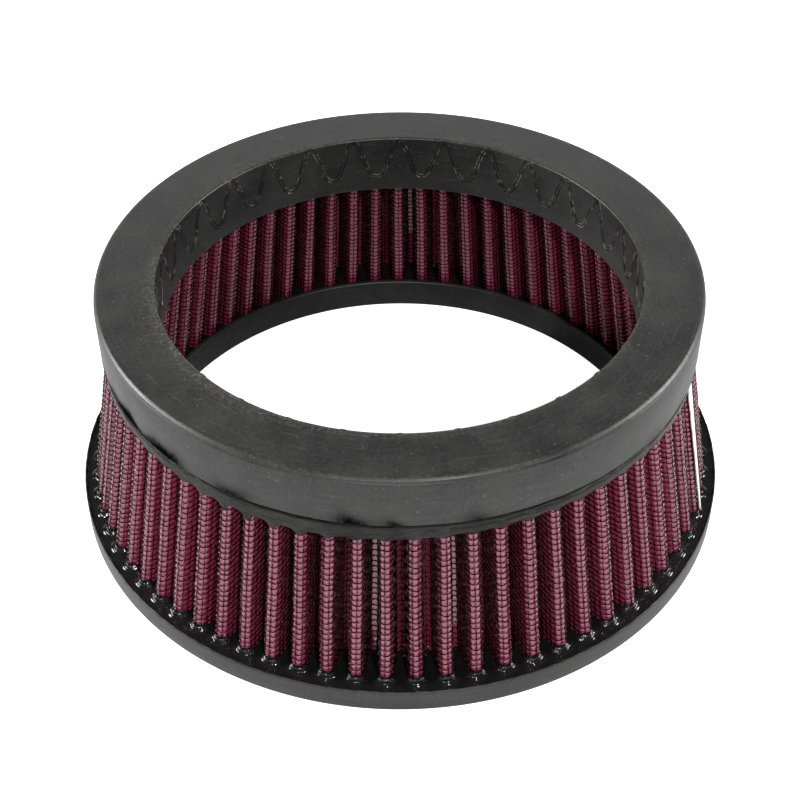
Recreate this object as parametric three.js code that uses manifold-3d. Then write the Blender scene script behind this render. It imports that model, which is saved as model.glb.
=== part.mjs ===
// Conical pleated air filter element for a motorcycle: two moulded rubber end caps hold a ring of
// pleated cotton gauze between two woven wire screens. Millimetres, +Z up, origin at the centre of
// the bottom face, which is the wide end.

import * as THREE from 'three';
import { mergeVertices } from 'three/addons/utils/BufferGeometryUtils.js';
import Module from 'manifold-3d';

const { degToRad } = THREE.MathUtils;

// Overall size
const HEIGHT = 63.5;
const TOP_OUTER_RADIUS = 73;
const TOP_INNER_RADIUS = 58.4;
const BOTTOM_OUTER_RADIUS = 82.7;
const BOTTOM_INNER_RADIUS = 67.5;

// End caps
const TOP_CAP_DEPTH = 16.2; // from the top face down to the underside
const TOP_WALL_DEPTH = 13; // from the top face down to the undercut of the outer wall
const UNDERCUT = 0.45; // how far the outer wall steps in below the undercut line
const FLANGE_HEIGHT = 6.2; // of the wide cap, where the pleats stand in it
const INNER_RIM_HEIGHT = 8.5; // of the raised rim around its opening
const INNER_RIM_WIDTH = 1.5;
const EDGE_ROUND = 0.8; // rounding of the moulded edges
const CAP_SEGMENTS = 68;

// Pleated pack. Fold radii are those of the outermost and innermost faces, on the plane z = 0.
const PLEATS = 68;
const OUTER_FOLD_RADIUS = 81.1;
const INNER_FOLD_RADIUS = 70.9;
const LEAN = 0.19; // how far the pleats lean in for each millimetre of height
const PACK_LOW = 3; // the pack's lower edge, inside the bottom cap
const PACK_HIGH = 57.5; // its upper edge, inside the top cap
const OUTER_FOLD_WIDTH = 2.2; // straight part of a fold, on the middle line of the media
const INNER_FOLD_WIDTH = 2.1;

// The hand-folded pleats stand closer together on one side of the ring than on the other.
const FIRST_FOLD_DEG = 0.3;
const CROWDING_DEG = 4.4;
const CROWDED_SIDE_DEG = -129.7;

// Layers of the media, from the outside in
const SCREEN_THICKNESS = 0.3;
const PLY_THICKNESS = 0.14;
const PLIES = 4;
const LAYER_GAP = 0.13;
const MEDIA_THICKNESS =
  2 * SCREEN_THICKNESS + PLIES * PLY_THICKNESS + (PLIES + 1) * LAYER_GAP;
const SLOT_CLEARANCE = 0.3; // between the media and the rubber that it is set in

// Channel crimped over the outer fold where the two ends of the pack meet
const SEAM_FOLD = 65; // number of that fold
const SEAM_GAP = 0.2; // between the media and the channel
const SEAM_THICKNESS = 0.4;
const SEAM_LEG = 3; // how far the channel reaches down each side of the fold

const MATERIALS = {
  rubber: { color: '#2f2f30', roughness: 0.55, metalness: 0 },
  screen: { color: '#1c1b1d', roughness: 0.4, metalness: 0.5 },
  gauze: { color: '#9b3359', roughness: 0.8, metalness: 0 },
  seam: { color: '#d8d6d0', roughness: 0.35, metalness: 0.9 },
};

const wasm = await Module();
wasm.setup();

/** Azimuth of a fold in radians: whole numbers are outer folds, halves are inner folds. */
function foldAzimuth(number) {
  const even = FIRST_FOLD_DEG + (360 / PLEATS) * number;
  return degToRad(even - CROWDING_DEG * Math.sin(degToRad(even - CROWDED_SIDE_DEG)));
}

/** The two corners of a fold, at a radius and with a width, in the direction of the ring. */
function foldCorners(number, radius, width) {
  const half = width / 2 / radius;
  return [-half, half].map((turn) => {
    const azimuth = foldAzimuth(number) + turn;
    return new THREE.Vector2(radius * Math.cos(azimuth), radius * Math.sin(azimuth));
  });
}

/** The middle line of the media on the plane z = 0, counterclockwise. */
function middleOutline() {
  const outer = OUTER_FOLD_RADIUS - MEDIA_THICKNESS / 2;
  const inner = INNER_FOLD_RADIUS + MEDIA_THICKNESS / 2;
  const outline = [];
  for (let pleat = 0; pleat < PLEATS; pleat += 1) {
    outline.push(...foldCorners(pleat, outer, OUTER_FOLD_WIDTH));
    outline.push(...foldCorners(pleat + 0.5, inner, INNER_FOLD_WIDTH));
  }
  return outline;
}

/** A counterclockwise outline moved outwards by a distance, with mitred corners. */
function offsetOutline(outline, distance) {
  const count = outline.length;
  return outline.map((corner, index) => {
    const before = outline[(index + count - 1) % count];
    const after = outline[(index + 1) % count];
    const arriving = corner.clone().sub(before).normalize();
    const leaving = after.clone().sub(corner).normalize();
    const mitre = new THREE.Vector2(arriving.y + leaving.y, -arriving.x - leaving.x);
    return corner.clone().addScaledVector(mitre, distance / (1 + arriving.dot(leaving)));
  });
}

/** Leans a shape drawn on z = 0 and extruded by 1, so that it follows the pack from low to high. */
function leanBetween(geometry, low, high) {
  const position = geometry.attributes.position;
  const point = new THREE.Vector3();
  for (let index = 0; index < position.count; index += 1) {
    point.fromBufferAttribute(position, index);
    const height = low + (high - low) * point.z;
    const radius = Math.hypot(point.x, point.y);
    const scale = (radius - LEAN * height) / radius;
    position.setXYZ(index, point.x * scale, point.y * scale, height);
  }
  return geometry;
}

const MIDDLE = middleOutline();

/** A closed pleated ring between two distances from the middle line, outer and inner. */
function pleatedRing(outer, inner, low, high) {
  const shape = new THREE.Shape(offsetOutline(MIDDLE, outer));
  shape.holes.push(new THREE.Path(offsetOutline(MIDDLE, inner).reverse()));
  const geometry = new THREE.ExtrudeGeometry(shape, { depth: 1, bevelEnabled: false });
  return leanBetween(geometry, low, high);
}

/** A ring turned from a closed profile of [radius, height] points. */
function turnedRing(profile) {
  const points = [...profile, profile[0]].map(([radius, height]) => new THREE.Vector2(radius, height));
  return new THREE.LatheGeometry(points, CAP_SEGMENTS).rotateX(Math.PI / 2);
}

/** A geometry as a solid that can be cut, with its shared vertices merged. */
function toSolid(geometry) {
  const bare = geometry.clone();
  bare.deleteAttribute('normal');
  bare.deleteAttribute('uv');
  const merged = mergeVertices(bare, 1e-4);
  return new wasm.Manifold(new wasm.Mesh({
    numProp: 3,
    vertProperties: new Float32Array(merged.attributes.position.array),
    triVerts: new Uint32Array(merged.index.array),
  }));
}

function toGeometry(solid) {
  const mesh = solid.getMesh();
  const geometry = new THREE.BufferGeometry();
  geometry.setAttribute('position', new THREE.BufferAttribute(mesh.vertProperties, 3));
  geometry.setIndex(new THREE.BufferAttribute(mesh.triVerts, 1));
  geometry.computeVertexNormals();
  return geometry;
}

/** A cap with the zigzag slot that the pack stands in, from one height to another. */
function slottedCap(profile, slotLow, slotHigh) {
  const reach = MEDIA_THICKNESS / 2 + SLOT_CLEARANCE;
  const slot = pleatedRing(reach, -reach, slotLow, slotHigh);
  return toGeometry(toSolid(turnedRing(profile)).subtract(toSolid(slot)));
}

/** The narrow cap: a flat sealing face, a plain outer wall and an undercut above the pleats. */
function topCapGeometry() {
  const underside = HEIGHT - TOP_CAP_DEPTH;
  const undercut = HEIGHT - TOP_WALL_DEPTH;
  const profile = [
    [TOP_INNER_RADIUS + 0.25, underside],
    [TOP_OUTER_RADIUS - UNDERCUT / 2, underside],
    [TOP_OUTER_RADIUS - UNDERCUT, undercut - EDGE_ROUND],
    [TOP_OUTER_RADIUS, undercut],
    [TOP_OUTER_RADIUS, HEIGHT - EDGE_ROUND],
    [TOP_OUTER_RADIUS - EDGE_ROUND, HEIGHT],
    [TOP_INNER_RADIUS + EDGE_ROUND / 2, HEIGHT],
    [TOP_INNER_RADIUS, HEIGHT - EDGE_ROUND / 2],
  ];
  return slottedCap(profile, underside - 0.5, PACK_HIGH + SLOT_CLEARANCE);
}

/** The wide cap: a flat flange that the pleats stand in, with a raised rim around its opening. */
function bottomCapGeometry() {
  const rimOuter = BOTTOM_INNER_RADIUS + INNER_RIM_WIDTH;
  const half = EDGE_ROUND / 2;
  const profile = [
    [BOTTOM_INNER_RADIUS, 0],
    [BOTTOM_OUTER_RADIUS, 0],
    [BOTTOM_OUTER_RADIUS, FLANGE_HEIGHT - EDGE_ROUND],
    [BOTTOM_OUTER_RADIUS - EDGE_ROUND, FLANGE_HEIGHT],
    [rimOuter, FLANGE_HEIGHT],
    [rimOuter, INNER_RIM_HEIGHT - half],
    [rimOuter - half, INNER_RIM_HEIGHT],
    [BOTTOM_INNER_RADIUS + half, INNER_RIM_HEIGHT],
    [BOTTOM_INNER_RADIUS, INNER_RIM_HEIGHT - half],
  ];
  return slottedCap(profile, PACK_LOW - SLOT_CLEARANCE, FLANGE_HEIGHT + 0.5);
}

/** A line round the outside of the seam's fold, at a distance from the middle line of the media. */
function seamLine(distance) {
  const outline = offsetOutline(MIDDLE, distance);
  const [before, first, last, after] = outline.slice(SEAM_FOLD * 4 - 1, SEAM_FOLD * 4 + 3);
  const start = before.clone().sub(first).setLength(SEAM_LEG).add(first);
  const end = after.clone().sub(last).setLength(SEAM_LEG).add(last);
  return [start, first, last, end];
}

/** The channel over the fold where the pack is closed, from the flange up to the top cap. */
function seamStripGeometry() {
  const near = MEDIA_THICKNESS / 2 + SEAM_GAP;
  const section = new THREE.Shape([...seamLine(near + SEAM_THICKNESS), ...seamLine(near).reverse()]);
  const geometry = new THREE.ExtrudeGeometry(section, { depth: 1, bevelEnabled: false });
  const low = FLANGE_HEIGHT + SLOT_CLEARANCE;
  const high = HEIGHT - TOP_CAP_DEPTH - SLOT_CLEARANCE;
  return leanBetween(geometry, low, high);
}

const group = new THREE.Group();
group.name = 'air_filter';

function addPart(name, geometry, material) {
  const mesh = new THREE.Mesh(geometry, new THREE.MeshStandardMaterial(MATERIALS[material]));
  mesh.name = name;
  group.add(mesh);
}

/** The six layers of the media, from the outer screen through the gauze plies to the inner screen. */
function addMedia() {
  const layers = [{ name: 'outer_screen', thickness: SCREEN_THICKNESS, material: 'screen' }];
  for (let ply = 1; ply <= PLIES; ply += 1) {
    layers.push({ name: `gauze_ply_${ply}`, thickness: PLY_THICKNESS, material: 'gauze' });
  }
  layers.push({ name: 'inner_screen', thickness: SCREEN_THICKNESS, material: 'screen' });
  let face = MEDIA_THICKNESS / 2;
  for (const { name, thickness, material } of layers) {
    const geometry = pleatedRing(face, face - thickness, PACK_LOW, PACK_HIGH);
    addPart(name, geometry, material);
    face -= thickness + LAYER_GAP;
  }
}

addPart('top_cap', topCapGeometry(), 'rubber');
addPart('bottom_cap', bottomCapGeometry(), 'rubber');
addMedia();
addPart('seam_strip', seamStripGeometry(), 'seam');

export default group;
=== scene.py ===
"""Looks of a conical pleated air filter element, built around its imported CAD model.

Two moulded rubber end caps hold a ring of oiled cotton gauze, four plies folded into pleats, with a
woven wire screen on each side of it and a bright strip where the ends of the pack meet.
Shapes are worked out in millimetres in the part's own frame, and each mesh is written in metres.
"""

import math

import bpy
import numpy as np
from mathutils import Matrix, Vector
from mathutils.kdtree import KDTree


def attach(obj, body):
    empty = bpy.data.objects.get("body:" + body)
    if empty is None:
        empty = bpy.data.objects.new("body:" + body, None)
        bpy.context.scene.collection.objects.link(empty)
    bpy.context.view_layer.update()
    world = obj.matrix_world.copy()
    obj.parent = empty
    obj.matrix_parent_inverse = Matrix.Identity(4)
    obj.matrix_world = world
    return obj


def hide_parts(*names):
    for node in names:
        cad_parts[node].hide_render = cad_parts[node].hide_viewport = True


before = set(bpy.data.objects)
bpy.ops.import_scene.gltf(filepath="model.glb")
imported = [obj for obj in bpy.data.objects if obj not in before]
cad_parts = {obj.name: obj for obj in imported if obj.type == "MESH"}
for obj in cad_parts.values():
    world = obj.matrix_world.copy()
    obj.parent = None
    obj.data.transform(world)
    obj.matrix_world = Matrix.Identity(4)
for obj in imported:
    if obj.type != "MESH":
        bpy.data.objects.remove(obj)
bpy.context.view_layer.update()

MM = 0.001

# Overall size
HEIGHT = 63.5
TOP_OUTER_RADIUS = 73
TOP_INNER_RADIUS = 58.4
BOTTOM_OUTER_RADIUS = 82.7
BOTTOM_INNER_RADIUS = 67.5

# End caps
TOP_UNDERSIDE = 47.3
TOP_UNDERCUT = 49.9  # lower edge of the outer wall
UNDERCUT = 0.35  # how far the flash below it stands back
FLASH_LOW = 46.3  # lower edge of the flash, where it comes down least
FLANGE_HEIGHT = 6.0
INNER_RIM_HEIGHT = 8.4
INNER_RIM_WIDTH = 1.5
CAP_COLUMNS_PER_PLEAT = 18  # columns of points round a cap for each pleat

# Rows of points of the top cap, as distances from its edges
TOP_FACE_ROWS = (1.2, 2.2, 3.6, 5.6, 9.6, 12.8)  # out from the opening
TOP_EDGE_BAND = (  # in from the outer wall and down from the top face
    (0.95, 0),
    (0.8, 0.06),
    (0.25, 0.54),
    (0.14, 0.7),
    (0.12, 0.84),
    (0.26, 0.94),
    (0.4, 1.06),
    (0.38, 1.16),
    (0.08, 1.36),
    (0, 1.6),
)
WALL_ROWS = (6.1, 4.7, 3.7, 2.9, 2.1, 1.5)  # up from the undercut, closest where it is smudged
WALL_EDGE_ROWS = 3  # rows of the ragged profile that still belong to the wall
GROOVE_ROWS = 3  # rows after them that lie in the groove between wall and flash, painted dark as shade
FLASH_SMUDGE = 0.35  # strength of the wall's smudges where they reach the flash
UNDERSIDE_ROWS = 20

# Pleated pack. Fold radii are those of the outermost and innermost faces, on the plane z = 0.
PLEATS = 68
OUTER_FOLD_RADIUS = 81.1
INNER_FOLD_RADIUS = 70.9
LEAN = 0.19
PACK_LOW = 3
PACK_HIGH = 57.5
FOLD_WIDTH = 2.4  # on the middle line of the media, before its corners are rounded
FOLD_ROUND = 1.1  # radius of the middle line at the corners of a fold
ARC_STEPS = 9  # points round a corner of a fold
FLAT_STEPS = 6  # steps along each straight stretch
MEDIA_HALF = 0.64  # from the middle line to either face
FIRST_FOLD_DEG = 0.3
CROWDING_DEG = 4.4
CROWDED_SIDE_DEG = -129.7

# Woven screens
WIRE_RADIUS = 0.13
WIRE_SIDES = 4  # a wire is a square tube with smooth shading
SCREEN_OFFSET = 0.40  # from the middle line of the pack to the middle of a screen
COLUMN_PITCH = 1.6
ROW_PITCH = 1.5
FIRST_ROW = 4.6
ROWS = 30
SHARP_BEND_DEG = 16  # a cross wire takes a further point where it bends more than this in half a cell

# Gauze plies, as distances from the middle line to the outside
PUFF_OFFSET = 0.58  # middle of a mesh cell, where the outer ply swells through the screen
PRESSED_OFFSET = 0.42  # the same, where the screen is folded inwards and holds the ply back
TUCK_OFFSET = 0.05  # under the crossing of two wires
HIDDEN_PLY_OFFSETS = {"gauze_ply_2": 0.02, "gauze_ply_3": -0.02}

# Seam channel, over the outer fold where the two ends of the pack meet
SEAM_FOLD = 65
SEAM_GAP = 0.2
SEAM_THICKNESS = 0.4
SEAM_REACH = (1.35, 2.7)  # along the media, from the middle of the fold to the near and the far edge
SEAM_LOW = 7.6
SEAM_RUN = 17  # points of the middle line on each side of the fold that the channel can reach
GLUE_COLUMNS = 9  # columns of faces with glue on them, back from the far edge

# Moulded wave on the inner wall of the top cap
WAVES = 30
WAVE_LOW = 51.8
WAVE_HIGH = 63.0
WAVE_PEAK_DEG = 6
WAVE_LIP_GAP = 0.42
WAVE_LIP_RADIUS = 0.12

# Camera
CAMERA_TARGET = (0, 0, 20.98)
CAMERA_DISTANCE = 387.9
CAMERA_ELEVATION_DEG = 41.46
CAMERA_ROLL_DEG = -0.23
LENS_MM = 67.37
SENSOR_MM = 36

WORLD_LIGHT = 0.12  # strength of the light from all round
FLOOR_LIGHT = 0.15  # strength of the floor's own light on the part
FLOOR_HALF = 3000
FLOOR_DROP = 0.05  # below the part, so that the two faces don't coincide


# ---------------------------------------------------------------- helpers


def smoothstep(low, high, value):
    t = np.clip((value - low) / (high - low), 0, 1)
    return t * t * (3 - 2 * t)


def ripple(along, rates, phases):
    """A smooth uneven curve between about -1 and 1, from a few sines of whole-number rates."""
    waves = [np.sin(rate * along + phase) for rate, phase in zip(rates, phases)]
    return sum(waves) / len(waves)


def make_mesh(name, points, faces, materials, face_materials=None, smooth=True):
    """A mesh object from points in millimetres and an array of equal-sided faces."""
    mesh = bpy.data.meshes.new(name)
    mesh.vertices.add(len(points))
    mesh.vertices.foreach_set("co", (np.asarray(points) * MM).astype(np.float32).ravel())
    faces = np.asarray(faces, np.int32)
    mesh.loops.add(faces.size)
    mesh.loops.foreach_set("vertex_index", faces.ravel())
    mesh.polygons.add(len(faces))
    mesh.polygons.foreach_set("loop_start", np.arange(0, faces.size, faces.shape[1], dtype=np.int32))
    mesh.polygons.foreach_set("use_smooth", np.full(len(faces), smooth))
    for material in materials:
        mesh.materials.append(material)
    if face_materials is not None:
        mesh.polygons.foreach_set("material_index", np.asarray(face_materials, np.int32))
    mesh.update(calc_edges=True)
    piece = bpy.data.objects.new(name, mesh)
    bpy.context.scene.collection.objects.link(piece)
    return piece


def hand_over(piece, nodes):
    """The piece stands for CAD nodes: it hangs under the root body, and those nodes are hidden."""
    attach(piece, "root")
    for node in nodes:
        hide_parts(node)


def grid_faces(rows, columns, close_rows, close_columns):
    """Quads over a grid of points numbered row by row, closed round in either direction."""
    row = np.arange(rows if close_rows else rows - 1)
    column = np.arange(columns if close_columns else columns - 1)
    here = row[:, None] * columns + column[None, :]
    right = row[:, None] * columns + (column[None, :] + 1) % columns
    up = (row[:, None] + 1) % rows * columns + column[None, :]
    across = (row[:, None] + 1) % rows * columns + (column[None, :] + 1) % columns
    return np.stack((here, right, across, up), -1).reshape(-1, 4)


# ---------------------------------------------------------------- the line that the pack is folded along


def fold_azimuth(number):
    """Azimuth of a fold in radians: whole numbers are outer folds, halves are inner folds."""
    even = FIRST_FOLD_DEG + 360 / PLEATS * number
    return np.radians(even - CROWDING_DEG * np.sin(np.radians(even - CROWDED_SIDE_DEG)))


def fold_corners(number, radius):
    half = FOLD_WIDTH / 2 / radius
    azimuths = fold_azimuth(number) + np.array([-half, half])
    return radius * np.column_stack((np.cos(azimuths), np.sin(azimuths)))


def middle_corners():
    """Corners of the middle line of the media on the plane z = 0, counterclockwise."""
    outer = OUTER_FOLD_RADIUS - MEDIA_HALF
    inner = INNER_FOLD_RADIUS + MEDIA_HALF
    corners = []
    for pleat in range(PLEATS):
        corners.append(fold_corners(pleat, outer))
        corners.append(fold_corners(pleat + 0.5, inner))
    return np.vstack(corners)


def rounded_line(corners, rounding, steps, flat_steps):
    """A closed line with its corners rounded: its points, and the outward normal at each."""
    arriving = corners - np.roll(corners, 1, axis=0)
    arriving /= np.linalg.norm(arriving, axis=1)[:, None]
    leaving = np.roll(arriving, -1, axis=0)
    turn = np.arctan2(
        arriving[:, 0] * leaving[:, 1] - arriving[:, 1] * leaving[:, 0],
        (arriving * leaving).sum(1),
    )
    points = []
    normals = []
    for corner, way, angle in zip(corners, arriving, turn):
        start = corner - way * rounding * math.tan(abs(angle) / 2)
        to_right = np.array([way[1], -way[0]])
        centre = start - to_right * rounding * math.copysign(1, angle)
        for part in np.linspace(0, angle, steps):
            spin = np.array([[math.cos(part), -math.sin(part)], [math.sin(part), math.cos(part)]])
            points.append(centre + spin @ (start - centre))
            normals.append(spin @ to_right)
    points = np.array(points).reshape(len(corners), steps, 2)
    normals = np.array(normals).reshape(len(corners), steps, 2)
    # Straight stretches are filled in, so that every step of the line is short.
    share = np.arange(1, flat_steps)[None, :, None] / flat_steps
    gap_start = points[:, -1:, :]
    gap_end = np.roll(points, -1, axis=0)[:, :1, :]
    between = gap_start + share * (gap_end - gap_start)
    between_normals = np.repeat(normals[:, -1:, :], flat_steps - 1, axis=1)
    points = np.concatenate((points, between), 1).reshape(-1, 2)
    normals = np.concatenate((normals, between_normals), 1).reshape(-1, 2)
    return points, normals


MIDDLE, OUTWARD = rounded_line(middle_corners(), FOLD_ROUND, ARC_STEPS, FLAT_STEPS)


def evenly_along(offset, count):
    """Places evenly spaced along the line at an offset: points of the middle line, and normals."""
    line = MIDDLE + offset * OUTWARD
    closed = np.vstack((line, line[:1]))
    length = np.concatenate(([0], np.cumsum(np.linalg.norm(np.diff(closed, axis=0), axis=1))))
    wanted = np.arange(count) * length[-1] / count
    place = np.interp(wanted, length, np.arange(len(length)))
    index = np.arange(len(MIDDLE) + 1)

    def at(values):
        looped = np.vstack((values, values[:1]))
        return np.column_stack([np.interp(place, index, looped[:, axis]) for axis in (0, 1)])

    normals = at(OUTWARD)
    return at(MIDDLE), normals / np.linalg.norm(normals, axis=1)[:, None]


def line_length(offset):
    line = MIDDLE + offset * OUTWARD
    return float(np.linalg.norm(line - np.roll(line, 1, axis=0), axis=1).sum())


def on_pack(middle, normals, offset, height):
    """Points of the leaning pack: at an offset from the middle line and at a height."""
    offset, height = np.broadcast_arrays(offset, height)
    flat = middle + offset[..., None] * normals
    radius = np.linalg.norm(flat, axis=-1)
    scale = (radius - LEAN * height) / radius
    flat = flat * scale[..., None]
    azimuth = np.arctan2(flat[..., 1], flat[..., 0])
    # The folds and the mesh waver a little on their way up, and stand true where the caps hold them.
    share = np.clip((height - FLANGE_HEIGHT) / (TOP_UNDERSIDE - FLANGE_HEIGHT), 0, 1)
    loose = np.sin(np.pi * share)
    azimuth_now = azimuth + 0.0016 * loose * np.sin(azimuth * 23 + height * 0.07)
    height_now = height + 0.16 * loose * np.sin(azimuth * 57 + height * 0.9)
    radius = np.linalg.norm(flat, axis=-1)
    return np.stack((radius * np.cos(azimuth_now), radius * np.sin(azimuth_now), height_now), -1)


# ---------------------------------------------------------------- media


def columns_of(side):
    """Number of upright wires of a screen, an even number, so that the weave closes on itself."""
    return 2 * round(line_length(side * SCREEN_OFFSET) / COLUMN_PITCH / 2)


def tube_faces(count, closed):
    """Faces of tubes of WIRE_SIDES sides whose rings of points follow one another."""
    ring = np.arange(count if closed else count - 1)
    side = np.arange(WIRE_SIDES)
    here = ring[:, None] * WIRE_SIDES + side
    beside = ring[:, None] * WIRE_SIDES + (side + 1) % WIRE_SIDES
    following = (ring[:, None] + 1) % count * WIRE_SIDES
    return np.stack((here, beside, following + (side + 1) % WIRE_SIDES, following + side), -1).reshape(-1, 4)


def tube_points(path, first, second):
    """Rings of points round a path, in the directions first and second."""
    turn = (np.arange(WIRE_SIDES) + 0.5) * 2 * np.pi / WIRE_SIDES
    around = np.cos(turn)[:, None] * first[..., None, :] + np.sin(turn)[:, None] * second[..., None, :]
    return path[..., None, :] + WIRE_RADIUS * around


def cross_wires(name, side, rows, material):
    """The wires that run round the pack, over and under the upright ones."""
    columns = columns_of(side)
    middle, normals = evenly_along(side * SCREEN_OFFSET, columns * 2)
    turn = np.degrees(np.arccos(np.clip((normals * np.roll(normals, -1, axis=0)).sum(1), -1, 1)))
    bends = np.maximum(turn, np.roll(turn, 1)) > SHARP_BEND_DEG
    crossing = np.arange(columns * 2) % 2 == 0
    kept = np.flatnonzero(crossing | bends)
    middle = middle[kept]
    normals = normals[kept]
    weave = np.where(crossing[kept], (-1.0) ** (kept // 2), 0)
    outward = np.column_stack((normals, np.zeros(len(kept))))
    upward = np.tile([0.0, 0.0, 1.0], (len(kept), 1))
    faces = tube_faces(len(kept), True)
    all_points = []
    all_faces = []
    for number, row in enumerate(rows):
        offset = side * SCREEN_OFFSET + WIRE_RADIUS * weave * (-1) ** row
        height = np.full(len(kept), FIRST_ROW + ROW_PITCH * row)
        path = on_pack(middle, normals, offset, height)
        all_points.append(tube_points(path, outward, upward).reshape(-1, 3))
        all_faces.append(faces + number * len(kept) * WIRE_SIDES)
    return make_mesh(name, np.vstack(all_points), np.vstack(all_faces), [material])


def upright_wires(name, side, half, material):
    """The upright wires of one half of a screen."""
    columns = columns_of(side)
    middle, normals = evenly_along(side * SCREEN_OFFSET, columns)
    chosen = np.arange(columns // 2) + half * (columns // 2)
    heights = np.concatenate(([PACK_LOW], FIRST_ROW + ROW_PITCH * np.arange(ROWS), [PACK_HIGH]))
    rows = len(heights)
    weave = (-1.0) ** (chosen[:, None] + np.arange(-1, ROWS + 1)[None, :] + 1)
    offset = side * SCREEN_OFFSET + WIRE_RADIUS * weave
    height = np.broadcast_to(heights, (len(chosen), rows))
    path = on_pack(middle[chosen][:, None, :], normals[chosen][:, None, :], offset, height)
    outward = np.column_stack((normals, np.zeros(columns)))[chosen]
    along = np.column_stack((-normals[:, 1], normals[:, 0], np.zeros(columns)))[chosen]
    outward = np.repeat(outward[:, None, :], rows, axis=1)
    along = np.repeat(along[:, None, :], rows, axis=1)
    points = tube_points(path, outward, along).reshape(-1, 3)
    faces = tube_faces(rows, False)
    shifts = np.arange(len(chosen)) * rows * WIRE_SIDES
    return make_mesh(name, points, (faces[None] + shifts[:, None, None]).reshape(-1, 4), [material])


def mark_sharp(mesh, corner_count):
    """Edges between two corners of the mesh cells are creases, so that each cell swells by itself."""
    ends = np.empty(len(mesh.edges) * 2, np.int32)
    mesh.edges.foreach_get("vertices", ends)
    crease = (ends.reshape(-1, 2) < corner_count).all(axis=1)
    sharp = mesh.attributes.new("sharp_edge", "BOOLEAN", "EDGE")
    sharp.data.foreach_set("value", crease)


def puffed_ply(name, side, material):
    """The gauze ply behind a screen: it swells through each cell of the mesh and tucks under the wires."""
    columns = columns_of(side)
    middle, normals = evenly_along(side * SCREEN_OFFSET, columns * 2)
    heights = np.concatenate(([PACK_LOW], FIRST_ROW + ROW_PITCH * np.arange(ROWS), [PACK_HIGH]))
    rows = len(heights)
    column = np.arange(columns)
    tuck = np.full((rows, columns), side * TUCK_OFFSET)
    corners = on_pack(
        middle[::2][None], normals[::2][None], tuck, np.broadcast_to(heights[:, None], (rows, columns))
    ).reshape(-1, 3)
    inner_rows = np.arange(1, rows - 2)
    cell_heights = (heights[inner_rows] + heights[inner_rows + 1]) / 2
    cell_count = len(inner_rows)
    uneven = 0.04 * np.sin(column[None, :] * 1.7 + inner_rows[:, None] * 2.3)
    halfway = (OUTER_FOLD_RADIUS + INNER_FOLD_RADIUS) / 2
    depth = side * (np.linalg.norm(middle[1::2], axis=1) - halfway)
    swell = PRESSED_OFFSET + (PUFF_OFFSET - PRESSED_OFFSET) * smoothstep(-4.4, -2.5, depth)
    puff = side * (swell + uneven)
    centres = on_pack(
        middle[1::2][None],
        normals[1::2][None],
        puff,
        np.broadcast_to(cell_heights[:, None], (cell_count, columns)),
    ).reshape(-1, 3)
    points = np.vstack((corners, centres))
    quads = grid_faces(rows, columns, False, True).reshape(rows - 1, columns, 4)
    centre = len(corners) + np.arange(cell_count)[:, None] * columns + column[None, :]
    cells = quads[1:-1]
    fans = [
        np.stack((cells[..., edge], cells[..., (edge + 1) % 4], centre), -1).reshape(-1, 3)
        for edge in range(4)
    ]
    ends = quads[[0, -1]].reshape(-1, 4)
    triangles = np.vstack(fans + [ends[:, [0, 1, 2]], ends[:, [0, 2, 3]]])
    if side < 0:
        triangles = triangles[:, ::-1]
    piece = make_mesh(name, points, triangles, [material])
    mark_sharp(piece.data, len(corners))
    return piece


def plain_ply(name, offset, material):
    """A ply between two others, which nothing shows of but its edge."""
    heights = np.array([PACK_LOW, (PACK_LOW + PACK_HIGH) / 2, PACK_HIGH])
    height = np.broadcast_to(heights[:, None], (3, len(MIDDLE)))
    points = on_pack(MIDDLE[None], OUTWARD[None], np.full(height.shape, offset), height).reshape(-1, 3)
    return make_mesh(name, points, grid_faces(3, len(MIDDLE), False, True), [material])


def build_media(wire, gauze):
    half_rows = ROWS // 2
    for node, side in (("outer_screen", 1), ("inner_screen", -1)):
        pieces = [
            cross_wires(f"{node}_cross_wires_low", side, range(half_rows), wire),
            cross_wires(f"{node}_cross_wires_high", side, range(half_rows, ROWS), wire),
            upright_wires(f"{node}_upright_wires_a", side, 0, wire),
            upright_wires(f"{node}_upright_wires_b", side, 1, wire),
        ]
        for piece in pieces:
            hand_over(piece, [node])
    plies = {
        "gauze_ply_1": (puffed_ply("outer_gauze", 1, gauze), TUCK_OFFSET),
        "gauze_ply_4": (puffed_ply("inner_gauze", -1, gauze), -TUCK_OFFSET),
    }
    for node, offset in HIDDEN_PLY_OFFSETS.items():
        plies[node] = (plain_ply(f"middle_{node}", offset, gauze), offset)
    for node, (piece, offset) in plies.items():
        hand_over(piece, [node])


# ---------------------------------------------------------------- end caps


def cap_azimuths(per_pleat, gathering=0.0):
    """Azimuths round a cap that meet each fold in the same way, gathered towards the outer folds."""
    number = np.arange(PLEATS * per_pleat) / per_pleat
    return fold_azimuth(number - gathering * np.sin(2 * np.pi * number))


def distance_to_pack(x, y, height):
    """Distance of points from the middle line of the pack at a height."""
    radius = np.linalg.norm(MIDDLE, axis=1)
    line = MIDDLE * ((radius - LEAN * height) / radius)[:, None]
    following = np.roll(line, -1, axis=0)
    dense = np.concatenate((line, line + (following - line) / 2))
    tree = KDTree(len(dense))
    for index, (line_x, line_y) in enumerate(dense):
        tree.insert((line_x, line_y, 0), index)
    tree.balance()
    flat = np.column_stack((x.ravel(), y.ravel()))
    found = [tree.find((point_x, point_y, 0))[2] for point_x, point_y in flat]
    return np.array(found).reshape(x.shape)


def near_outer_fold(azimuth):
    """Nearness to an outer fold: 1 on it, 0 half a pleat away."""
    numbers = np.arange(-1, PLEATS + 2, 0.25)
    place = np.interp(np.unwrap(azimuth), np.unwrap(fold_azimuth(numbers)), numbers, period=2 * np.pi)
    return 0.5 + 0.5 * np.cos(2 * np.pi * place)


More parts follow.
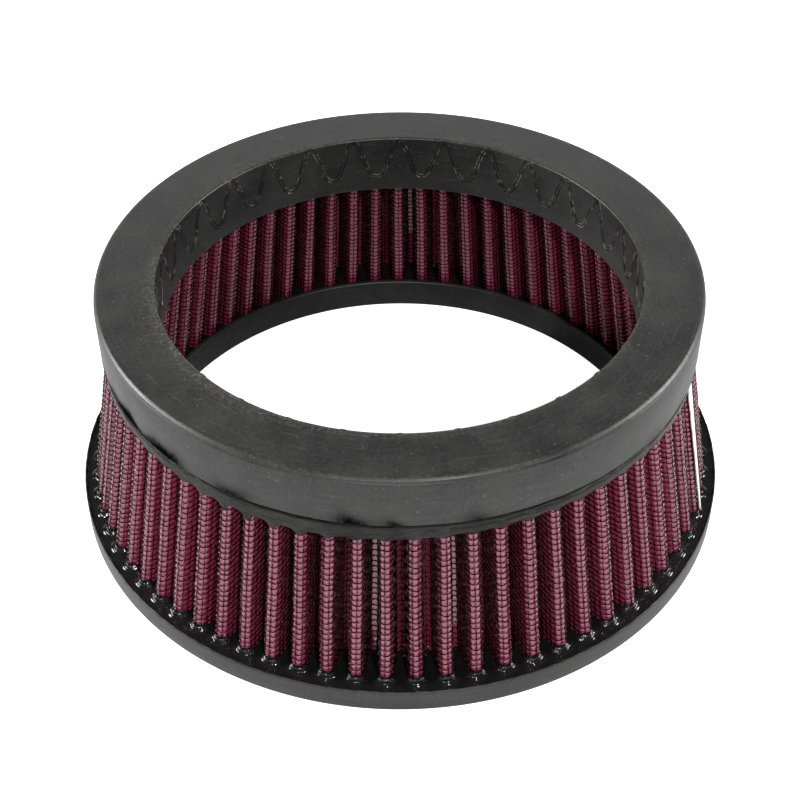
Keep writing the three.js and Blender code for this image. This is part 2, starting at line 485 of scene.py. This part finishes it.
def turned(azimuth, radius, height):
    return np.stack((radius * np.cos(azimuth), radius * np.sin(azimuth), height), -1)


def arc(centre_r, centre_z, radius, start_deg, end_deg, steps):
    turn = np.radians(np.linspace(start_deg, end_deg, steps))
    return np.column_stack((centre_r + radius * np.cos(turn), centre_z + radius * np.sin(turn)))


def hump(azimuth, centre_deg, width_deg):
    """A smooth hump of height 1 round an azimuth."""
    away = (np.degrees(azimuth) - centre_deg + 180) % 360 - 180
    return np.exp(-((away / width_deg) ** 2))


def flash_low(azimuth):
    """Height of the ragged lower edge of the flash: it webs down onto the folds, most at the left front."""
    webs = near_outer_fold(azimuth) ** 3
    ragged = 0.5 + 0.5 * ripple(azimuth, (3, 7, 12), (0.4, 1.9, 3.1))
    drop = 1.2 * hump(azimuth, -106, 24) + 0.5 * hump(azimuth, 60, 50)
    web_drop = 0.25 + 0.5 * ragged + 1.7 * hump(azimuth, -117, 11)
    uneven = 0.16 * ripple(azimuth, (19, 43, 71), (0, 1.1, 2.6))
    return FLASH_LOW - drop - webs * web_drop - uneven


def top_cap_outline(azimuth):
    """The closed outline of the top cap's section at each azimuth, row by row.

    Gives radii, heights, the first row of the flash and the first row of the underside.
    """
    count = len(azimuth)
    low = flash_low(azimuth)
    inner = TOP_INNER_RADIUS
    outer = TOP_OUTER_RADIUS
    line = TOP_UNDERCUT + 0.12 * ripple(azimuth, (5, 17, 53), (0.3, 2.1, 4.2))
    step = outer - UNDERCUT + 0.10 * ripple(azimuth, (9, 23, 61), (1.0, 0.2, 3.0))
    crease = 0.09 * (0.5 + 0.5 * ripple(azimuth, (14, 37, 88), (0.7, 2.9, 1.3)))
    fixed = np.vstack((
        arc(inner + 0.5, TOP_UNDERSIDE + 0.5, 0.5, 270, 180, 4),
        [[inner, 55.0], [inner, 62.6]],
        arc(inner + 0.5, HEIGHT - 0.5, 0.5, 180, 90, 5),
        [[inner + out, HEIGHT] for out in TOP_FACE_ROWS],
        [[outer - back, HEIGHT - down] for back, down in TOP_EDGE_BAND],
        [[outer, TOP_UNDERCUT + up] for up in WALL_ROWS],
    ))
    radii = [np.full(count, radius) for radius in fixed[:, 0]]
    heights = [np.full(count, height) for height in fixed[:, 1]]
    ragged = (
        (outer + 0.02, line + 1.0),
        (outer, line + 0.5),
        (outer - 0.10, line + 0.2),
        (outer - 0.35, line),
        (step - 0.75, line - 0.05),
        (step - 0.95, line - 0.55),
        (step - 0.25, line - 0.9),
        (step + crease, line - 1.1),
        (step - 0.05, line - 1.4),
        (step + 0.06, line - 1.7),
        (step + 0.04, line * 0.6 + low * 0.4),
        (step + 0.02, line * 0.3 + low * 0.7),
        (step, low + 0.3),
        (step - 0.12, low + 0.06),
        (step - 0.35, low),
        (step - 0.7, low + 0.15),
    )
    flash_start = len(radii) + WALL_EDGE_ROWS
    for radius, height in ragged:
        radii.append(radius * np.ones(count))
        heights.append(height)
    underside_start = len(radii)
    for radius in np.linspace(outer - 1.5, inner + 1.0, UNDERSIDE_ROWS):
        radii.append(np.full(count, radius))
        heights.append(np.full(count, TOP_UNDERSIDE))
    return np.array(radii), np.array(heights), flash_start, underside_start


def smudge_strength(azimuth, heights):
    """Dark patches just above the lower edge of the outer wall, mostly at the left front."""
    places = (  # azimuth and width in degrees, and strength
        (-160, 6, 1.3),
        (-147, 6, 1.5),
        (-135, 5, 1.4),
        (-120, 4, 0.9),
        (-98, 3.5, 1),
        (-91, 2, 0.9),
        (-77, 3, 0.6),
        (-40, 4, 0.4),
        (35, 6, 0.6),
        (120, 9, 0.5),
    )
    patches = sum(strength * hump(azimuth, centre, width) for centre, width, strength in places)
    rise = 2.3 + 1.3 * ripple(azimuth, (21, 47), (0.4, 2.2)) + 0.9 * hump(azimuth, -145, 18)
    return patches * np.exp(-(np.maximum(heights - TOP_UNDERCUT - 0.2, 0) / rise) ** 2)


def worn_strength(azimuth, radii, heights):
    """Where the top face is scuffed and dusty: its outer edge, and the opening, most at the left front."""
    on_face = heights > HEIGHT - 0.45
    reach = 1.3 + 1.6 * hump(azimuth, -145, 40)
    most = 0.35 + 0.65 * hump(azimuth, -140, 60)
    along_opening = most * np.exp(-((radii - TOP_INNER_RADIUS) / reach) ** 2)
    outer_edge = 0.2 * (radii > TOP_OUTER_RADIUS - 1) * (heights > HEIGHT - 0.8)
    return on_face * along_opening + outer_edge


def top_cap_surface():
    """The top cap without its moulded wave: points, faces, which faces are rough flash, and its marks of
    smudges, wear and painted shade.
    """
    azimuth = cap_azimuths(CAP_COLUMNS_PER_PLEAT, 0.05)
    radii, heights, flash_start, under = top_cap_outline(azimuth)
    x = radii[under:] * np.cos(azimuth)
    y = radii[under:] * np.sin(azimuth)
    distance = distance_to_pack(x, y, TOP_UNDERSIDE)
    climb = 1.1 * np.exp(-np.maximum(distance - MEDIA_HALF, 0) / 0.5)
    heights[under:] = TOP_UNDERSIDE - climb + 0.08 * ripple(azimuth, (31, 57), (0, 1))
    points = turned(azimuth[None, :], radii, heights).reshape(-1, 3)
    faces = grid_faces(len(radii), len(azimuth), True, True)
    row = np.repeat(np.arange(len(radii)), len(azimuth))
    outer_wall = radii > TOP_OUTER_RADIUS - 2
    # Painted shade on the wall of the opening, strongest at the back left.
    inner_wall_shade = (radii < TOP_INNER_RADIUS + 0.01) * (0.15 + 0.3 * hump(azimuth, 160, 45))
    smudge_and_shade = np.where(outer_wall, smudge_strength(azimuth, heights), inner_wall_shade)
    groove_end = flash_start + GROOVE_ROWS
    smudge_and_shade[groove_end:] *= FLASH_SMUDGE
    # Painted shade in the groove under the wall: full in its rows, half in the row below.
    smudge_and_shade[flash_start:groove_end] = 1
    smudge_and_shade[groove_end] = 0.5
    marks = {
        "smudge_and_shade": smudge_and_shade.ravel(),
        "worn": worn_strength(azimuth, radii, heights).ravel(),
    }
    return points, faces, row >= flash_start, marks


def wave_height(azimuth):
    """Height of the moulded wave: rounded valleys and narrower peaks."""
    crest = 0.5 + 0.5 * np.cos(WAVES * (azimuth - math.radians(WAVE_PEAK_DEG)))
    return WAVE_LOW + (WAVE_HIGH - WAVE_LOW) * crest ** 1.3


def wave_lips():
    """Two thin raised lips on either side of the wavy parting line of the inner wall."""
    count = WAVES * 40
    azimuth = np.arange(count) * 2 * np.pi / count
    along = TOP_INNER_RADIUS * azimuth
    height = wave_height(azimuth)
    slope = np.gradient(height, along)
    across = np.column_stack((-slope, np.ones(count))) / np.hypot(slope, 1)[:, None]
    sides = 5
    turn = np.linspace(0, 2 * np.pi, sides, endpoint=False)
    points = []
    faces = []
    for number, gap in enumerate((-WAVE_LIP_GAP, WAVE_LIP_GAP)):
        thickness = WAVE_LIP_RADIUS * (1 + 0.5 * ripple(azimuth, (2, 13, 47, 91), (number * 3, 0, 2, 4)))
        rings = []
        for angle in turn:
            shift = gap + thickness * np.cos(angle)
            rings.append(turned(
                azimuth + shift * across[:, 0] / TOP_INNER_RADIUS,
                TOP_INNER_RADIUS - thickness * (0.15 + np.sin(angle)),
                np.minimum(height + shift * across[:, 1], HEIGHT - 0.25),
            ))
        points.append(np.array(rings).reshape(-1, 3))
        faces.append(grid_faces(sides, count, True, True) + number * sides * count)
    return np.vstack(points), np.vstack(faces)


def build_top_cap(satin, rough, scuffed):
    body_points, body_faces, is_flash, marks = top_cap_surface()
    lip_points, lip_faces = wave_lips()
    points = np.vstack((body_points, lip_points))
    faces = np.vstack((body_faces, lip_faces + len(body_points)))
    finish = np.concatenate((is_flash, np.full(len(lip_faces), 2))).astype(int)
    piece = make_mesh("top_cap_rubber", points, faces, [satin, rough, scuffed], finish)
    add_marks(piece, marks)
    hand_over(piece, ["top_cap"])


def lip_height(azimuth):
    """How far the flange's outer lip stands up: lumpy, and highest at the left and the right."""
    lumps = 0.2 + 0.3 * ripple(azimuth, (4, 29, 83, 151), (1.2, 0.3, 2.2, 4.0))
    at_sides = 0.25 * smoothstep(0.55, 1, np.abs(np.cos(azimuth)))
    nubs = 0.5 * hump(azimuth, -14, 0.7) + 0.45 * hump(azimuth, -21, 0.6) + 0.3 * hump(azimuth, -52, 0.5)
    return np.maximum(lumps + at_sides + nubs, 0.05)


def bed_height(azimuth, radii):
    """The flange's upper face: rubber that set round the feet of the folds, with a ridge round each."""
    x = radii * np.cos(azimuth)
    y = radii * np.sin(azimuth)
    distance = distance_to_pack(x, y, FLANGE_HEIGHT + 0.5)
    at_tip = smoothstep(76.5, 78.5, radii)
    climb = (0.7 + 0.7 * at_tip) * np.exp(-np.maximum(distance - MEDIA_HALF, 0) / 0.15)
    strength = 0.95 + 0.25 * ripple(azimuth, (13, 27, 49), (0.5, 2.0, 1.0))
    ridge = 0.24 * strength * at_tip * np.exp(-(((distance - 1.4) / 0.16) ** 2))
    uneven = 0.05 * ripple(azimuth, (61, 97, 173), (0, 2, 4))
    return FLANGE_HEIGHT - 0.1 + climb + ridge + uneven


def bottom_cap_surface():
    """The bottom cap: points, faces, which faces are its wet-looking bed, and where shade is painted on the
    wall of its opening.
    """
    azimuth = cap_azimuths(CAP_COLUMNS_PER_PLEAT, 0.06)
    count = len(azimuth)
    outer = BOTTOM_OUTER_RADIUS
    inner = BOTTOM_INNER_RADIUS
    lip = lip_height(azimuth)
    fixed = np.vstack((
        arc(inner + 0.4, 0.4, 0.4, 180, 270, 4),
        [[70.0, 0], [76.0, 0], [81.0, 0]],
        arc(outer - 0.5, 0.5, 0.5, 270, 360, 5),
        [[outer, 3.0], [outer - 0.02, 5.3]],
    ))
    radii = [np.full(count, radius) for radius in fixed[:, 0]]
    heights = [np.full(count, height) for height in fixed[:, 1]]
    for radius, height in (
        (outer - 0.05, FLANGE_HEIGHT - 0.25 + lip),
        (outer - 0.22, FLANGE_HEIGHT + lip),
        (outer - 0.45, FLANGE_HEIGHT - 0.02 + lip * 0.5),
    ):
        radii.append(np.full(count, radius))
        heights.append(height)
    bed_start = len(radii)
    # The rows lie closest where the rubber climbs the outer folds.
    bed = np.concatenate((
        np.linspace(82, 81.2, 4),
        np.arange(OUTER_FOLD_RADIUS, 79.0, -0.09),
        np.linspace(79, 69.4, 23),
    ))
    for radius in bed:
        radii.append(np.full(count, radius))
        heights.append(np.full(count, FLANGE_HEIGHT))
    bed_end = len(radii)
    rounding = 0.45
    rim_outer = inner + INNER_RIM_WIDTH
    rim_level = INNER_RIM_HEIGHT - rounding
    rim = np.vstack((
        [[rim_outer + 0.15, FLANGE_HEIGHT + 0.9], [rim_outer, rim_level - 0.05]],
        arc(rim_outer - rounding, rim_level, rounding, 10, 90, 4),
        arc(inner + rounding, rim_level, rounding, 90, 180, 4),
        [[inner, 5.0]],
    ))
    for radius, height in rim:
        radii.append(np.full(count, radius))
        heights.append(np.full(count, height))
    radii = np.array(radii)
    heights = np.array(heights)
    heights[bed_start:bed_end] = bed_height(azimuth, radii[bed_start:bed_end])
    points = turned(azimuth[None, :], radii, heights).reshape(-1, 3)
    faces = grid_faces(len(radii), count, True, True)
    row = np.repeat(np.arange(len(radii)), count)
    wet = (row >= bed_start - 1) & (row < bed_end + 1)
    # Painted shade on the wall of the opening.
    smudge_and_shade = 0.45 * (radii < BOTTOM_INNER_RADIUS + 0.01)
    return points, faces, wet, {"smudge_and_shade": smudge_and_shade.ravel()}


def add_marks(piece, marks):
    """Gives a mesh its marks, one strength for each point from the first; the other points have none."""
    for mark, strength in marks.items():
        values = np.zeros(len(piece.data.vertices), np.float32)
        values[:len(strength)] = strength
        attribute = piece.data.attributes.new(mark, "FLOAT", "POINT")
        attribute.data.foreach_set("value", values)


def build_bottom_cap(satin, wet):
    points, faces, is_wet, marks = bottom_cap_surface()
    piece = make_mesh("bottom_cap_rubber", points, faces, [satin, wet], is_wet.astype(int))
    add_marks(piece, marks)
    hand_over(piece, ["bottom_cap"])


def across_seam(offset, places):
    """Points at distances along the line at an offset, measured from the middle of the seam's fold."""
    corner_steps = ARC_STEPS + FLAT_STEPS - 1
    centre = SEAM_FOLD * 4 * corner_steps + ARC_STEPS - 1 + FLAT_STEPS // 2
    run = centre + np.arange(-SEAM_RUN, SEAM_RUN + 1)
    line = MIDDLE[run] + offset * OUTWARD[run]
    length = np.concatenate(([0], np.cumsum(np.linalg.norm(np.diff(line, axis=0), axis=1))))
    length -= length[SEAM_RUN]
    return np.column_stack([np.interp(places, length, line[:, axis]) for axis in (0, 1)])


def build_seam(metal, glue):
    """The bright channel: widest under the top cap, pointed at its foot, with glue along one edge."""
    rows = 40
    across = 15
    near = MEDIA_HALF + SEAM_GAP
    far = near + SEAM_THICKNESS
    heights = np.linspace(SEAM_LOW, TOP_UNDERSIDE - 0.6, rows)
    share = np.linspace(0, 1, rows)
    widening = smoothstep(-0.25, 1.1, share) / smoothstep(-0.25, 1.1, 1)
    uneven = 1 + 0.05 * np.sin(share * 37) + 0.03 * np.sin(share * 83 + 1)
    reach = (0.06 + 0.94 * widening) * uneven
    part = np.linspace(-SEAM_REACH[0], SEAM_REACH[1], across)
    points = []
    for height, share_of_reach in zip(heights, reach):
        places = part * share_of_reach
        loop = np.vstack((across_seam(far, places), across_seam(near, places[::-1])))
        radius = np.linalg.norm(loop, axis=1)
        loop = loop * ((radius - LEAN * height) / radius)[:, None]
        points.append(np.column_stack((loop, np.full(len(loop), height))))
    sides = across * 2
    faces = grid_faces(rows, sides, False, True)
    place = np.tile(np.arange(sides), rows - 1)
    first = np.arange(across - 1)
    end = np.column_stack((first, sides - 1 - first, sides - 2 - first, first + 1))
    faces = np.vstack((faces, end, (end + (rows - 1) * sides)[:, ::-1]))
    on_far_edge = (place >= across - GLUE_COLUMNS) & (place <= across)
    glued = np.concatenate((on_far_edge, np.zeros(2 * len(end), bool)))
    piece = make_mesh("seam_strip_metal", np.vstack(points), faces, [metal, glue], glued.astype(int))
    hand_over(piece, ["seam_strip"])


# ---------------------------------------------------------------- materials


def new_material(name):
    material = bpy.data.materials.new(name)
    material.use_nodes = True
    nodes = material.node_tree.nodes
    links = material.node_tree.links
    return material, nodes, links, nodes["Principled BSDF"]


def noise_node(nodes, links, vector, scale, detail=4, roughness=0.6):
    noise = nodes.new("ShaderNodeTexNoise")
    noise.inputs["Scale"].default_value = scale
    noise.inputs["Detail"].default_value = detail
    noise.inputs["Roughness"].default_value = roughness
    links.new(vector, noise.inputs["Vector"])
    return noise.outputs["Fac"]


def remap(nodes, links, value, from_low, from_high, to_low, to_high):
    node = nodes.new("ShaderNodeMapRange")
    node.inputs["From Min"].default_value = from_low
    node.inputs["From Max"].default_value = from_high
    node.inputs["To Min"].default_value = to_low
    node.inputs["To Max"].default_value = to_high
    links.new(value, node.inputs["Value"])
    return node.outputs["Result"]


def mix_colour(nodes, links, factor, first, second):
    """A mix of two colours, each a tuple or an output."""
    node = nodes.new("ShaderNodeMix")
    node.data_type = "RGBA"
    links.new(factor, node.inputs["Factor"])
    sockets = [s for s in node.inputs if s.type == "RGBA"]
    for socket, colour in zip(sockets, (first, second)):
        if isinstance(colour, tuple):
            socket.default_value = (*colour, 1)
        else:
            links.new(colour, socket)
    return [s for s in node.outputs if s.type == "RGBA"][0]


def math_node(nodes, links, operation, first, second=None):
    node = nodes.new("ShaderNodeMath")
    node.operation = operation
    for socket, value in zip(node.inputs, (first, second)):
        if value is None:
            continue
        if isinstance(value, (int, float)):
            socket.default_value = value
        else:
            links.new(value, socket)
    return node.outputs["Value"]


def ring_coordinates(nodes, links, stretch):
    """Coordinates that run round the part: radius, squeezed turn and height, in millimetres."""
    place = nodes.new("ShaderNodeTexCoord").outputs["Object"]
    split = nodes.new("ShaderNodeSeparateXYZ")
    links.new(place, split.inputs["Vector"])
    x, y, z = (split.outputs[name] for name in "XYZ")
    square_x = math_node(nodes, links, "MULTIPLY", x, x)
    square_y = math_node(nodes, links, "MULTIPLY", y, y)
    radius = math_node(nodes, links, "SQRT", math_node(nodes, links, "ADD", square_x, square_y))
    angle = math_node(nodes, links, "ARCTAN2", y, x)
    joined = nodes.new("ShaderNodeCombineXYZ")
    links.new(math_node(nodes, links, "MULTIPLY", radius, 1000), joined.inputs["X"])
    links.new(math_node(nodes, links, "MULTIPLY", angle, stretch), joined.inputs["Y"])
    links.new(math_node(nodes, links, "MULTIPLY", z, 1000), joined.inputs["Z"])
    return joined.outputs["Vector"]


def mark_node(nodes, name):
    """The strength of a mark that a mesh carries, or 0 on a mesh that carries none."""
    node = nodes.new("ShaderNodeAttribute")
    node.attribute_name = name
    return node.outputs["Fac"]


def add_bump(nodes, links, shader, height, strength, distance):
    bump = nodes.new("ShaderNodeBump")
    bump.inputs["Strength"].default_value = strength
    bump.inputs["Distance"].default_value = distance
    links.new(height, bump.inputs["Height"])
    links.new(bump.outputs["Normal"], shader.inputs["Normal"])


def satin_rubber():
    """Moulded black rubber: satin, mottled, with fine dust, scratches and smudges that run round it, and
    painted shade where a mesh marks it.
    """
    material, nodes, links, shader = new_material("satin_rubber")
    place = nodes.new("ShaderNodeTexCoord").outputs["Object"]
    rings = ring_coordinates(nodes, links, 3.0)
    mottle = noise_node(nodes, links, place, 90, 5, 0.6)
    grain = noise_node(nodes, links, place, 1100, 3, 0.7)
    scratch = noise_node(nodes, links, rings, 2.2, 3, 0.7)
    dust = noise_node(nodes, links, place, 1500, 2, 0.5)
    tone = math_node(nodes, links, "ADD", mottle, math_node(nodes, links, "MULTIPLY", grain, 0.8))
    mottled = remap(nodes, links, tone, 0.7, 1.1, 0, 1)
    base = mix_colour(nodes, links, mottled, (0.008, 0.008, 0.008), (0.024, 0.024, 0.0232))
    scratched = mix_colour(
        nodes, links, remap(nodes, links, scratch, 0.58, 0.8, 0, 0.6), base, (0.07, 0.07, 0.068)
    )
    dusted = mix_colour(
        nodes, links, remap(nodes, links, dust, 0.69, 0.77, 0, 0.8), scratched, (0.13, 0.13, 0.125)
    )
    worn = mark_node(nodes, "worn")
    speckle = remap(nodes, links, grain, 0.5, 0.68, 0.1, 1)
    scuffed = mix_colour(
        nodes, links, math_node(nodes, links, "MULTIPLY", worn, speckle), dusted, (0.11, 0.105, 0.095)
    )
    blotch = remap(nodes, links, grain, 0.3, 0.6, 0.7, 1.2)
    # This mark darkens the colour and dulls the gloss: real smudges on the outer wall, painted shade on the
    # walls of the openings and in the groove under the wall.
    smudge_and_shade = math_node(nodes, links, "MULTIPLY", mark_node(nodes, "smudge_and_shade"), blotch)
    smudged_and_shaded = mix_colour(nodes, links, smudge_and_shade, scuffed, (0.002, 0.002, 0.002))
    links.new(smudged_and_shaded, shader.inputs["Base Color"])
    links.new(remap(nodes, links, smudge_and_shade, 0, 1, 0.4, 0), shader.inputs["Specular IOR Level"])
    satin = remap(nodes, links, mottle, 0.3, 0.7, 0.38, 0.5)
    links.new(math_node(nodes, links, "MAXIMUM", satin, smudge_and_shade), shader.inputs["Roughness"])
    add_bump(nodes, links, shader, noise_node(nodes, links, place, 1200, 3, 0.6), 0.12, 0.0002)
    return material


def flash_rubber():
    """Rubber that squeezed out of the mould below the wall: darker, wrinkled along the ring, with painted
    shade in the troughs of the wrinkles and in the groove under the wall, and painted highlight on their
    crests.
    """
    material, nodes, links, shader = new_material("flash_rubber")
    rings = ring_coordinates(nodes, links, 14.0)
    wrinkle = noise_node(nodes, links, rings, 1.1, 4, 0.65)
    # Painted shade and highlight: the colour follows the height of the wrinkles, dark in their troughs and
    # lighter on their crests.
    tone = remap(nodes, links, wrinkle, 0.35, 0.65, 0, 1)
    wrinkle_shading = mix_colour(nodes, links, tone, (0.002, 0.0024, 0.002), (0.020, 0.023, 0.020))
    # Painted shade in the groove under the wall, and the wall's smudges fainter below it: the mark darkens
    # the colour and takes away the gloss.
    groove = mark_node(nodes, "smudge_and_shade")
    base = mix_colour(nodes, links, groove, wrinkle_shading, (0.001, 0.001, 0.001))
    links.new(base, shader.inputs["Base Color"])
    links.new(remap(nodes, links, groove, 0, 1, 0.25, 0), shader.inputs["Specular IOR Level"])
    shader.inputs["Roughness"].default_value = 0.38
    add_bump(nodes, links, shader, wrinkle, 0.9, 0.0006)
    return material


def scuffed_rubber():
    """The raised lips of the wave, scuffed pale in places and shiny in others."""
    material, nodes, links, shader = new_material("scuffed_rubber")
    place = nodes.new("ShaderNodeTexCoord").outputs["Object"]
    scuff = noise_node(nodes, links, place, 400, 3, 0.65)
    shade = remap(nodes, links, scuff, 0.5, 0.64, 0, 1)
    base = mix_colour(nodes, links, shade, (0.008, 0.008, 0.008), (0.15, 0.14, 0.125))
    links.new(base, shader.inputs["Base Color"])
    links.new(remap(nodes, links, scuff, 0.45, 0.6, 0, 0.5), shader.inputs["Specular IOR Level"])
    shader.inputs["Roughness"].default_value = 0.26
    return material


def wet_rubber():
    """Rubber as it set round the pleats: black, glossy and a little lumpy."""
    material, nodes, links, shader = new_material("wet_rubber")
    place = nodes.new("ShaderNodeTexCoord").outputs["Object"]
    shader.inputs["Base Color"].default_value = (0.007, 0.007, 0.007, 1)
    shader.inputs["Roughness"].default_value = 0.1
    add_bump(nodes, links, shader, noise_node(nodes, links, place, 500, 2, 0.5), 0.12, 0.0003)
    return material


def oiled_gauze():
    """Cotton gauze soaked in tacky pink oil, glossy over its threads."""
    material, _, _, shader = new_material("oiled_gauze")
    shader.inputs["Base Color"].default_value = (0.22, 0.022, 0.058, 1)
    shader.inputs["Roughness"].default_value = 0.22
    shader.inputs["Specular IOR Level"].default_value = 0.5
    shader.inputs["Coat Weight"].default_value = 1.0
    shader.inputs["Coat Roughness"].default_value = 0.07
    return material


def coated_wire():
    """Fine aluminium wire with a black coating."""
    material, nodes, links, shader = new_material("coated_wire")
    place = nodes.new("ShaderNodeTexCoord").outputs["Object"]
    worn = noise_node(nodes, links, place, 900, 2, 0.5)
    shader.inputs["Base Color"].default_value = (0.002, 0.001, 0.0015, 1)
    links.new(remap(nodes, links, worn, 0.48, 0.62, 0.1, 0.7), shader.inputs["Specular IOR Level"])
    links.new(remap(nodes, links, worn, 0.4, 0.65, 0.24, 0.12), shader.inputs["Roughness"])
    return material


def bright_metal():
    """The channel's pale metal, which looks almost white."""
    material, nodes, links, shader = new_material("bright_metal")
    place = nodes.new("ShaderNodeTexCoord").outputs["Object"]
    stain = noise_node(nodes, links, place, 500, 3, 0.6)
    shader.inputs["Base Color"].default_value = (0.9, 0.89, 0.87, 1)
    shader.inputs["Metallic"].default_value = 0.15
    links.new(remap(nodes, links, stain, 0.4, 0.7, 0.3, 0.5), shader.inputs["Roughness"])
    return material


def amber_glue():
    """Dried amber glue."""
    material, _, _, shader = new_material("amber_glue")
    shader.inputs["Base Color"].default_value = (0.3, 0.125, 0.055, 1)
    shader.inputs["Roughness"].default_value = 0.35
    return material


def pale_floor():
    """A light table: white, and a little lit from inside, so that the part throws almost no shadow."""
    material, nodes, links, shader = new_material("pale_floor")
    seen = nodes.new("ShaderNodeLightPath").outputs["Is Camera Ray"]
    shader.inputs["Base Color"].default_value = (0.8, 0.8, 0.8, 1)
    shader.inputs["Roughness"].default_value = 0.9
    shader.inputs["Emission Color"].default_value = (1, 1, 1, 1)
    links.new(remap(nodes, links, seen, 0, 1, FLOOR_LIGHT, 1), shader.inputs["Emission Strength"])
    return material


# ---------------------------------------------------------------- stage


def build_floor():
    corners = ((-1, -1), (1, -1), (1, 1), (-1, 1))
    points = np.array([[x * FLOOR_HALF, y * FLOOR_HALF, -FLOOR_DROP] for x, y in corners])
    floor = make_mesh("floor", points, [[0, 1, 2, 3]], [pale_floor()], smooth=False)


def aim(thing, target):
    way = Vector(target) - thing.location
    thing.rotation_euler = way.to_track_quat("-Z", "Y").to_euler()


def soft_box(name, place, size, power):
    """A rectangular light at a place in metres, turned towards the part."""
    light = bpy.data.lights.new(name, "AREA")
    light.shape = "RECTANGLE"
    light.size, light.size_y = size
    light.energy = power
    box = bpy.data.objects.new(name, light)
    bpy.context.scene.collection.objects.link(box)
    box.location = place
    aim(box, (0, 0, 0.03))


def build_lights():
    """Faint light all round, boxes at both sides and behind, and two small ones in front."""
    world = bpy.data.worlds.new("studio")
    bpy.context.scene.world = world
    world.use_nodes = True
    nodes = world.node_tree.nodes
    links = world.node_tree.links
    background = nodes["Background"]
    background.inputs["Color"].default_value = (1, 1, 1, 1)
    seen = nodes.new("ShaderNodeLightPath").outputs["Is Camera Ray"]
    links.new(remap(nodes, links, seen, 0, 1, WORLD_LIGHT, 1), background.inputs["Strength"])
    soft_box("left_box", (-0.85, 0.1, 0.40), (0.4, 0.25), 12.7)
    soft_box("right_box", (0.85, 0.1, 0.40), (0.4, 0.25), 10.3)
    soft_box("back_box", (0.0, 0.95, 0.46), (1.6, 0.3), 2.8)
    soft_box("front_box", (-0.2, -1.0, 0.62), (0.2, 0.12), 4.0)
    soft_box("key_box", (0.2, -0.75, 0.75), (0.06, 0.06), 6.3)


def build_camera():
    camera = bpy.data.cameras.new("camera")
    camera.lens = LENS_MM
    camera.sensor_width = SENSOR_MM
    camera.clip_start = 0.01
    thing = bpy.data.objects.new("camera", camera)
    bpy.context.scene.collection.objects.link(thing)
    up = math.radians(CAMERA_ELEVATION_DEG)
    back = Vector((0, -math.cos(up), math.sin(up)))
    target = Vector(CAMERA_TARGET) * MM
    thing.location = target + back * CAMERA_DISTANCE * MM
    aim(thing, target)
    thing.rotation_euler.rotate_axis("Z", math.radians(CAMERA_ROLL_DEG))
    bpy.context.scene.camera = thing


build_camera()
satin = satin_rubber()
build_media(coated_wire(), oiled_gauze())
build_top_cap(satin, flash_rubber(), scuffed_rubber())
build_bottom_cap(satin, wet_rubber())
build_seam(bright_metal(), amber_glue())
build_floor()
build_lights()
bpy.context.scene.view_settings.view_transform = "Standard"
